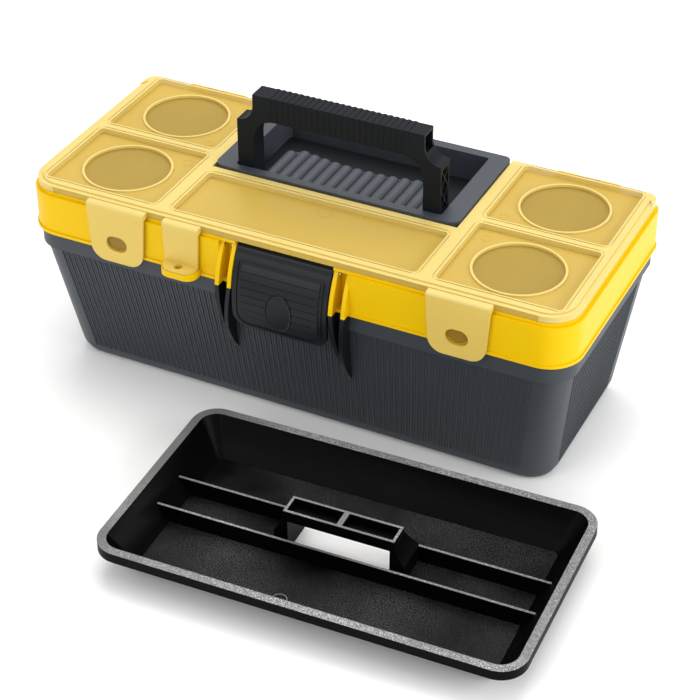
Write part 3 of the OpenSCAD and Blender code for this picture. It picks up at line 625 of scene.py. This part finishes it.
def rib_row(bm, side, long_wall):
    """Ribs on one wall: side is -1 or 1, and they fan in with the wall's taper."""
    low = wall_half(WALL_LOW)
    high = wall_half(WALL_HIGH)
    run = 0 if long_wall else 1
    count = int(2 * (high[run] - CORNER) / RIB_PITCH)
    for i in range(count + 1):
        t = 2.0 * i / count - 1.0
        ends = []
        for half, z in ((low, WALL_LOW), (high, WALL_HIGH)):
            along = t * (half[run] - CORNER)
            if long_wall:
                ends.append(Vector((along, side * half[1], z)))
            else:
                ends.append(Vector((side * half[0], along, z)))
        if long_wall:
            across, outward = Vector((-side, 0, 0)), Vector((0, side, 0))
        else:
            across, outward = Vector((0, side, 0)), Vector((side, 0, 0))
        width, depth = NARROW_RIB if i % 2 else WIDE_RIB
        wall_rib(bm, ends[0], ends[1], across, outward, width, depth)


ribs_bm = bmesh.new()
for side in (-1, 1):
    rib_row(ribs_bm, side, True)
    rib_row(ribs_bm, side, False)
bmesh.ops.recalc_face_normals(ribs_bm, faces=ribs_bm.faces)
tub_ribs = finish_piece(new_piece("tub_ribs", ribs_bm), "base", SLATE)
print("tub ribs:", len(tub_ribs.data.polygons), "faces")

# %% [markdown]
# ## Relief on the latch
# The latch is a bowed plate. Shallow slats run across it for the thumb, inside a thin frame, with
# a plain oval low in the middle. All of it is modelled flat, as bmesh insets and extrusions, and
# then bent round the latch's own curve, which keeps each step as high as it was drawn.

# %% Bend a flat relief round the latch
BOW_RADIUS = 0.0694
BOW_Y = -0.0239
BOW_Z = 0.103
CUT_PITCH = 2.0 * MM
CUT_SHIFT = 0.1 * MM     # keeps the cuts off the relief's own edges


def bend_on_latch(bm):
    """x stays, y is the length along the bow, and z the height above the plate."""
    # The cuts let the long faces follow the bow
    for station in range(-16, 20):
        whole = bm.verts[:] + bm.edges[:] + bm.faces[:]
        bmesh.ops.bisect_plane(bm, geom=whole, plane_co=(0, station * CUT_PITCH + CUT_SHIFT, 0),
                               plane_no=(0, 1, 0))
    for vert in bm.verts:
        x, along, height = vert.co
        angle = along / BOW_RADIUS
        reach = BOW_RADIUS + height
        vert.co = (x, BOW_Y - reach * math.cos(angle), BOW_Z + reach * math.sin(angle))
    bmesh.ops.recalc_face_normals(bm, faces=bm.faces)


def bow_length(z):
    """Length along the bow from its foremost line to a height."""
    return BOW_RADIUS * math.asin((z - BOW_Z) / BOW_RADIUS)


# %% Slats
SLAT_HALF = 0.0285
SLAT_TOP = bow_length(0.1318)
SLAT_LOW = bow_length(0.0895)
SLATS = 8
SLAT_GROOVE = 0.75 * MM
SLAT_LOW_EDGE = 0.95 * MM    # a slat slopes from its low edge to its high one
SLAT_HIGH_EDGE = 0.35 * MM
RELIEF_SINK = 0.4 * MM
LOWEST_TUCK = 5.0 * MM       # the lowest slat is shorter at its foot

slats_bm = bmesh.new()
slat_step = (SLAT_TOP - SLAT_LOW) / SLATS
for i in range(SLATS):
    low = SLAT_LOW + i * slat_step
    tuck = LOWEST_TUCK if i == 0 else 0.0
    made = bmesh.ops.create_cube(slats_bm, size=1.0)["verts"]
    for vert in made:
        a, b, c = vert.co
        along = low + (b + 0.5) * (slat_step - SLAT_GROOVE)
        proud = SLAT_LOW_EDGE if b < 0 else SLAT_HIGH_EDGE
        height = proud if c > 0 else -RELIEF_SINK
        half = SLAT_HALF - (tuck if b < 0 else 0.0)
        vert.co = (a * 2.0 * half, along, height)
bmesh.ops.bisect_plane(slats_bm, geom=slats_bm.verts[:] + slats_bm.edges[:] + slats_bm.faces[:],
                       plane_co=(0, 0, 0), plane_no=(1, 0, 0))
bend_on_latch(slats_bm)
latch_slats = finish_piece(new_piece("latch_slats", slats_bm), "latch", LATCH_BLACK)
round_edges(latch_slats, 0.2 * MM)
print("latch slats:", SLATS)


# %% A rounded rectangle, a band of it, and a raised block
ARC_STEPS = 6


def rounded_plan(bm, half_x, low, high, corner_low, corner_high):
    """A flat rounded rectangle: one face, from corner arcs."""
    corners = [(half_x, high, corner_high, 0), (-half_x, high, corner_high, 90),
               (-half_x, low, corner_low, 180), (half_x, low, corner_low, 270)]
    ring = []
    for x, y, r, start in corners:
        centre = Vector((x - math.copysign(r, x), y - r if y == high else y + r))
        for k in range(ARC_STEPS + 1):
            turn = math.radians(start + 90.0 * k / ARC_STEPS)
            ring.append(bm.verts.new((centre.x + r * math.cos(turn),
                                      centre.y + r * math.sin(turn), 0.0)))
    return bm.faces.new(ring)


def band_of(bm, face, width):
    """Insets one flat face and keeps only the band round it."""
    band = bmesh.ops.inset_region(bm, faces=[face], thickness=width, use_boundary=True,
                                  use_even_offset=True)["faces"]
    bmesh.ops.delete(bm, geom=[face], context="FACES_ONLY")
    return band


def extruded_verts(bm, faces):
    """Extrudes faces, keeps them as the back, and gives the new front's vertices."""
    grown = bmesh.ops.extrude_face_region(bm, geom=faces, use_keep_orig=True)["geom"]
    return [part for part in grown if isinstance(part, bmesh.types.BMVert)]


def raise_face(bm, faces, height, sink):
    """Extrudes flat faces into a closed block from -sink to height."""
    bmesh.ops.translate(bm, verts=list({v for f in faces for v in f.verts}), vec=(0, 0, -sink))
    top = extruded_verts(bm, faces)
    bmesh.ops.translate(bm, verts=top, vec=(0, 0, height + sink))
    bmesh.ops.recalc_face_normals(bm, faces=bm.faces)


# %% Frame
FRAME_HALF = 0.0312
FRAME_LOW = bow_length(0.0870)
FRAME_TOP = bow_length(0.1330)    # below the cover's front corner when the latch is open
FRAME_BAND = 0.9 * MM
FRAME_PROUD = 0.6 * MM
FINE_ROUND = 0.15 * MM

frame_bm = bmesh.new()
plan = rounded_plan(frame_bm, FRAME_HALF, FRAME_LOW, FRAME_TOP, 8.0 * MM, 1.5 * MM)
raise_face(frame_bm, band_of(frame_bm, plan, FRAME_BAND), FRAME_PROUD, RELIEF_SINK)
bend_on_latch(frame_bm)
# The frame takes the lighter black, which is painted highlight on its raised edge.
latch_frame = finish_piece(new_piece("latch_frame", frame_bm), "latch", LATCH_EDGE_HIGHLIGHT)
round_edges(latch_frame, FINE_ROUND)
print("latch frame:", len(latch_frame.data.polygons), "faces")

# %% Oval
OVAL_HALF = (9.5 * MM, 14.0 * MM)
OVAL_Z = 0.1035
OVAL_PROUD = 1.5 * MM
OVAL_LIP = 0.9 * MM
OVAL_DISH = 0.35 * MM

oval_bm = bmesh.new()
bmesh.ops.create_circle(oval_bm, cap_ends=True, segments=48, radius=1.0)
bmesh.ops.scale(oval_bm, verts=oval_bm.verts, vec=(*OVAL_HALF, 1.0))
bmesh.ops.translate(oval_bm, verts=oval_bm.verts, vec=(0, bow_length(OVAL_Z), 0))
raise_face(oval_bm, oval_bm.faces[:], OVAL_PROUD, RELIEF_SINK)
top_face = max(oval_bm.faces, key=lambda face: face.calc_center_median().z)
bmesh.ops.inset_region(oval_bm, faces=[top_face], thickness=OVAL_LIP, use_even_offset=True)
bmesh.ops.translate(oval_bm, verts=top_face.verts, vec=(0, 0, -OVAL_DISH))
bend_on_latch(oval_bm)
latch_oval = finish_piece(new_piece("latch_oval", oval_bm), "latch", LATCH_BLACK)
round_edges(latch_oval, FINE_ROUND)
print("latch oval:", len(latch_oval.data.polygons), "faces")

# %% [markdown]
# ## Pale rims round the cover's panels
# Each sunken panel has a thin raised lip on its ridge, where the double wall is thickest. The lip's
# pale amber is painted highlight on the raised edge. A rounded plan is inset to a band, and the
# band is raised a little and rounded.

# %% Lips round five panels
COVER_TOP = 0.150
PANEL_RECTS = [(-0.0892, -0.0738, 0.0892, -0.0215)]
for inner, outer in ((0.102, 0.188), (-0.188, -0.102)):
    PANEL_RECTS.append((inner, 0.0082, outer, 0.0812))
    PANEL_RECTS.append((inner, -0.0738, outer, -0.0008))
LIP_OUT = 1.9 * MM
LIP_WIDE = 1.1 * MM
LIP_CORNER = 4.5 * MM
LIP_PROUD = 0.35 * MM
LIP_SINK = 0.3 * MM

lips_bm = bmesh.new()
for x0, y0, x1, y1 in PANEL_RECTS:
    lip_bm = bmesh.new()
    half = (x1 - x0) / 2 + LIP_OUT
    depth = (y1 - y0) / 2 + LIP_OUT
    plan = rounded_plan(lip_bm, half, -depth, depth, LIP_CORNER, LIP_CORNER)
    raise_face(lip_bm, band_of(lip_bm, plan, LIP_WIDE), LIP_PROUD, LIP_SINK)
    bmesh.ops.translate(lip_bm, verts=lip_bm.verts,
                        vec=((x0 + x1) / 2, (y0 + y1) / 2, COVER_TOP))
    spare = bpy.data.meshes.new("lip")
    lip_bm.to_mesh(spare)
    lip_bm.free()
    lips_bm.from_mesh(spare)
    bpy.data.meshes.remove(spare)
cover_lips = finish_piece(new_piece("cover_lips", lips_bm), "cover", AMBER_LIP_HIGHLIGHT)
round_edges(cover_lips, FINE_ROUND)
print("cover lips:", len(PANEL_RECTS))

# %% [markdown]
# ## Ribs on the grip
# The grip has bands across its top and down both faces, so that a wet hand holds. Each band is a
# block a little larger than the grip's section, with its edges rounded, sunk into the bail.

# %% Bands round the grip
grip_low, grip_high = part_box("handle")
GRIP_HEIGHT = 0.018
BAND_PITCH = 0.0044
BAND_WIDTH = 0.0027
BAND_OUT = 0.00045
BANDS = 24
BAND_FOOT = 1.2 * MM    # how far the bands stop above the grip's underside

bands_bm = bmesh.new()
for i in range(BANDS):
    x = (i - (BANDS - 1) / 2) * BAND_PITCH
    foot_z = grip_high.z - GRIP_HEIGHT + BAND_FOOT
    low = Vector((x - BAND_WIDTH / 2, grip_low.y - BAND_OUT, foot_z))
    high = Vector((x + BAND_WIDTH / 2, grip_high.y + BAND_OUT, grip_high.z + BAND_OUT))
    made = bmesh.ops.create_cube(bands_bm, size=1.0)["verts"]
    bmesh.ops.scale(bands_bm, verts=made, vec=high - low)
    bmesh.ops.translate(bands_bm, verts=made, vec=(low + high) / 2)
grip_bands = finish_piece(new_piece("grip_bands", bands_bm), "handle", BLACK)
round_edges(grip_bands, 0.6 * MM)
print("grip bands:", BANDS)

# %% [markdown]
# ## Ends of the well's rolls
# The shelf in the well carries half-round rolls, and each one ends in a quarter ball at the rear.
# A ball from create_uvsphere is cut by one plane just under the shelf. The front of what is left
# is sunk in its roll, so that only a quarter ball shows.

# %% Quarter balls
ROLLS = 14
SHELF_HALF = 0.0615
SHELF_REAR = 0.04695
SHELF_TOP = 0.140
SHELF_ROUND = 0.015
SHELF_BOW = 0.200
ROLL_PITCH = 2 * SHELF_HALF / ROLLS
ROLL_R = 0.56 * ROLL_PITCH
ROLL_SINK = 0.001
SHELF_BOW_AHEAD = 0.007
BALL_CUT = 1.5 * MM    # the cut is this far under the shelf


def shelf_end(x):
    """Where the bowed rear edge of the shelf is at one x."""
    corner = SHELF_ROUND / 3 if abs(x) > SHELF_HALF - ROLL_PITCH else 0.0
    bow = SHELF_REAR + SHELF_BOW - SHELF_BOW_AHEAD - math.sqrt(SHELF_BOW ** 2 - x * x)
    return min(SHELF_REAR - corner, bow)


balls_bm = bmesh.new()
for i in range(ROLLS):
    x = -SHELF_HALF + (i + 0.5) * ROLL_PITCH
    made = bmesh.ops.create_uvsphere(balls_bm, u_segments=24, v_segments=12, radius=ROLL_R)["verts"]
    bmesh.ops.translate(balls_bm, verts=made,
                        vec=(x, shelf_end(x) - ROLL_R, SHELF_TOP - ROLL_SINK))
whole = balls_bm.verts[:] + balls_bm.edges[:] + balls_bm.faces[:]
bmesh.ops.bisect_plane(balls_bm, geom=whole, plane_co=(0, 0, SHELF_TOP - BALL_CUT),
                       plane_no=(0, 0, -1), clear_outer=True)
open_edges = [e for e in balls_bm.edges if e.is_boundary]
bmesh.ops.holes_fill(balls_bm, edges=open_edges)
smooth_by_angle(balls_bm, 40.0)
roll_ends = finish_piece(new_piece("roll_ends", balls_bm), "lid", WELL_GREY)
print("roll ends:", ROLLS)

# %% [markdown]
# ## Buttons in the snap tabs
# Each snap tab closes over an oval button on the lid. The button sits in the shade of the tab, and
# its dark amber is painted shade, so it reads darker than the band. It is an oval disc with a
# rounded edge.

# %% Two oval buttons
BUTTON_HALF = (7.3 * MM, 5.1 * MM)
BUTTON_XS = (-0.1248, 0.1248)
BUTTON_Y = -0.0868
BUTTON_Z = 0.120
BUTTON_THICK = 0.7 * MM

buttons_bm = bmesh.new()
for x in BUTTON_XS:
    disc = bmesh.ops.create_circle(buttons_bm, cap_ends=True, segments=40, radius=1.0)["verts"]
    for vert in disc:
        vert.co = (x + vert.co.x * BUTTON_HALF[0], BUTTON_Y, BUTTON_Z + vert.co.y * BUTTON_HALF[1])
    front = extruded_verts(buttons_bm, [disc[0].link_faces[0]])
    bmesh.ops.translate(buttons_bm, verts=front, vec=(0, -BUTTON_THICK, 0))
bmesh.ops.recalc_face_normals(buttons_bm, faces=buttons_bm.faces)
snap_buttons = finish_piece(new_piece("snap_buttons", buttons_bm), "lid", AMBER_BUTTON_SHADE)
round_edges(snap_buttons, 0.3 * MM)
print("snap buttons:", len(BUTTON_XS))

# %% [markdown]
# ## Marks of the mould
# Ejector pins push a moulding out of its mould and leave thin rings on its flats. One shows on the
# tray's front floor, and five on the cover's panels. A disc is inset to a band, and the band is
# extruded by a fraction of a millimetre.

# %% One ejector ring
def ejector_ring(bm, place, radius, width, height):
    """A low ring on a flat: a disc, its inner face taken out, and the band raised."""
    disc = bmesh.ops.create_circle(bm, cap_ends=True, segments=32, radius=radius)["verts"]
    band = band_of(bm, disc[0].link_faces[0], width)
    top = extruded_verts(bm, band)
    bmesh.ops.translate(bm, verts=top, vec=(0, 0, height))
    ring = {v for f in band for v in f.verts} | set(top)
    bmesh.ops.translate(bm, verts=list(ring), vec=place)


# %% The tray's ring
TRAY_RING_PLACE = (0.0745, -0.2395, 1.75 * MM)
TRAY_RING_R = 5.0 * MM

tray_rings_bm = bmesh.new()
ejector_ring(tray_rings_bm, TRAY_RING_PLACE, TRAY_RING_R, 0.5 * MM, 0.3 * MM)
bmesh.ops.recalc_face_normals(tray_rings_bm, faces=tray_rings_bm.faces)
# The ring takes the tray's paler top finish, so its grey is painted highlight with painted glints.
finish_piece(new_piece("tray_ring", tray_rings_bm), "tray", TRAY_TOP_HIGHLIGHT)
print("tray ring radius:", TRAY_RING_R)

# %% The cover's rings
PANEL_Z = 0.1463
RING_SINK = 0.05 * MM
LONG_PANEL_RING = (0.003, -0.030, 5.2)
SMALL_RING_MM = 3.6
COVER_RINGS = [LONG_PANEL_RING]
for y in (-0.012, 0.018):
    for x in (-0.112, 0.112):
        COVER_RINGS.append((x, y, SMALL_RING_MM))

cover_rings_bm = bmesh.new()
for x, y, radius_mm in COVER_RINGS:
    place = (x, y, PANEL_Z - RING_SINK)
    ejector_ring(cover_rings_bm, place, radius_mm * MM, 0.35 * MM, 0.25 * MM)
bmesh.ops.recalc_face_normals(cover_rings_bm, faces=cover_rings_bm.faces)
finish_piece(new_piece("cover_rings", cover_rings_bm), "cover", AMBER)
print("cover rings:", len(COVER_RINGS))

# %% [markdown]
# ## The floor
# A plain pale floor takes the soft shadows.

# %% Floor
FLOOR_HALF = 4.0
FLOOR_COLOR = (0.93, 0.93, 0.93, 1.0)
FLOOR_ROUGHNESS = 0.9

floor_bm = bmesh.new()
bmesh.ops.create_grid(floor_bm, x_segments=1, y_segments=1, size=FLOOR_HALF)
floor = new_piece("floor", floor_bm)
floor_material = bpy.data.materials.new("pale_floor")
floor_material.use_nodes = True
floor_surface = floor_material.node_tree.nodes["Principled BSDF"]
floor_surface.inputs["Base Color"].default_value = FLOOR_COLOR
floor_surface.inputs["Roughness"].default_value = FLOOR_ROUGHNESS
floor.data.materials.append(floor_material)
print("floor:", 2 * FLOOR_HALF, "m wide")
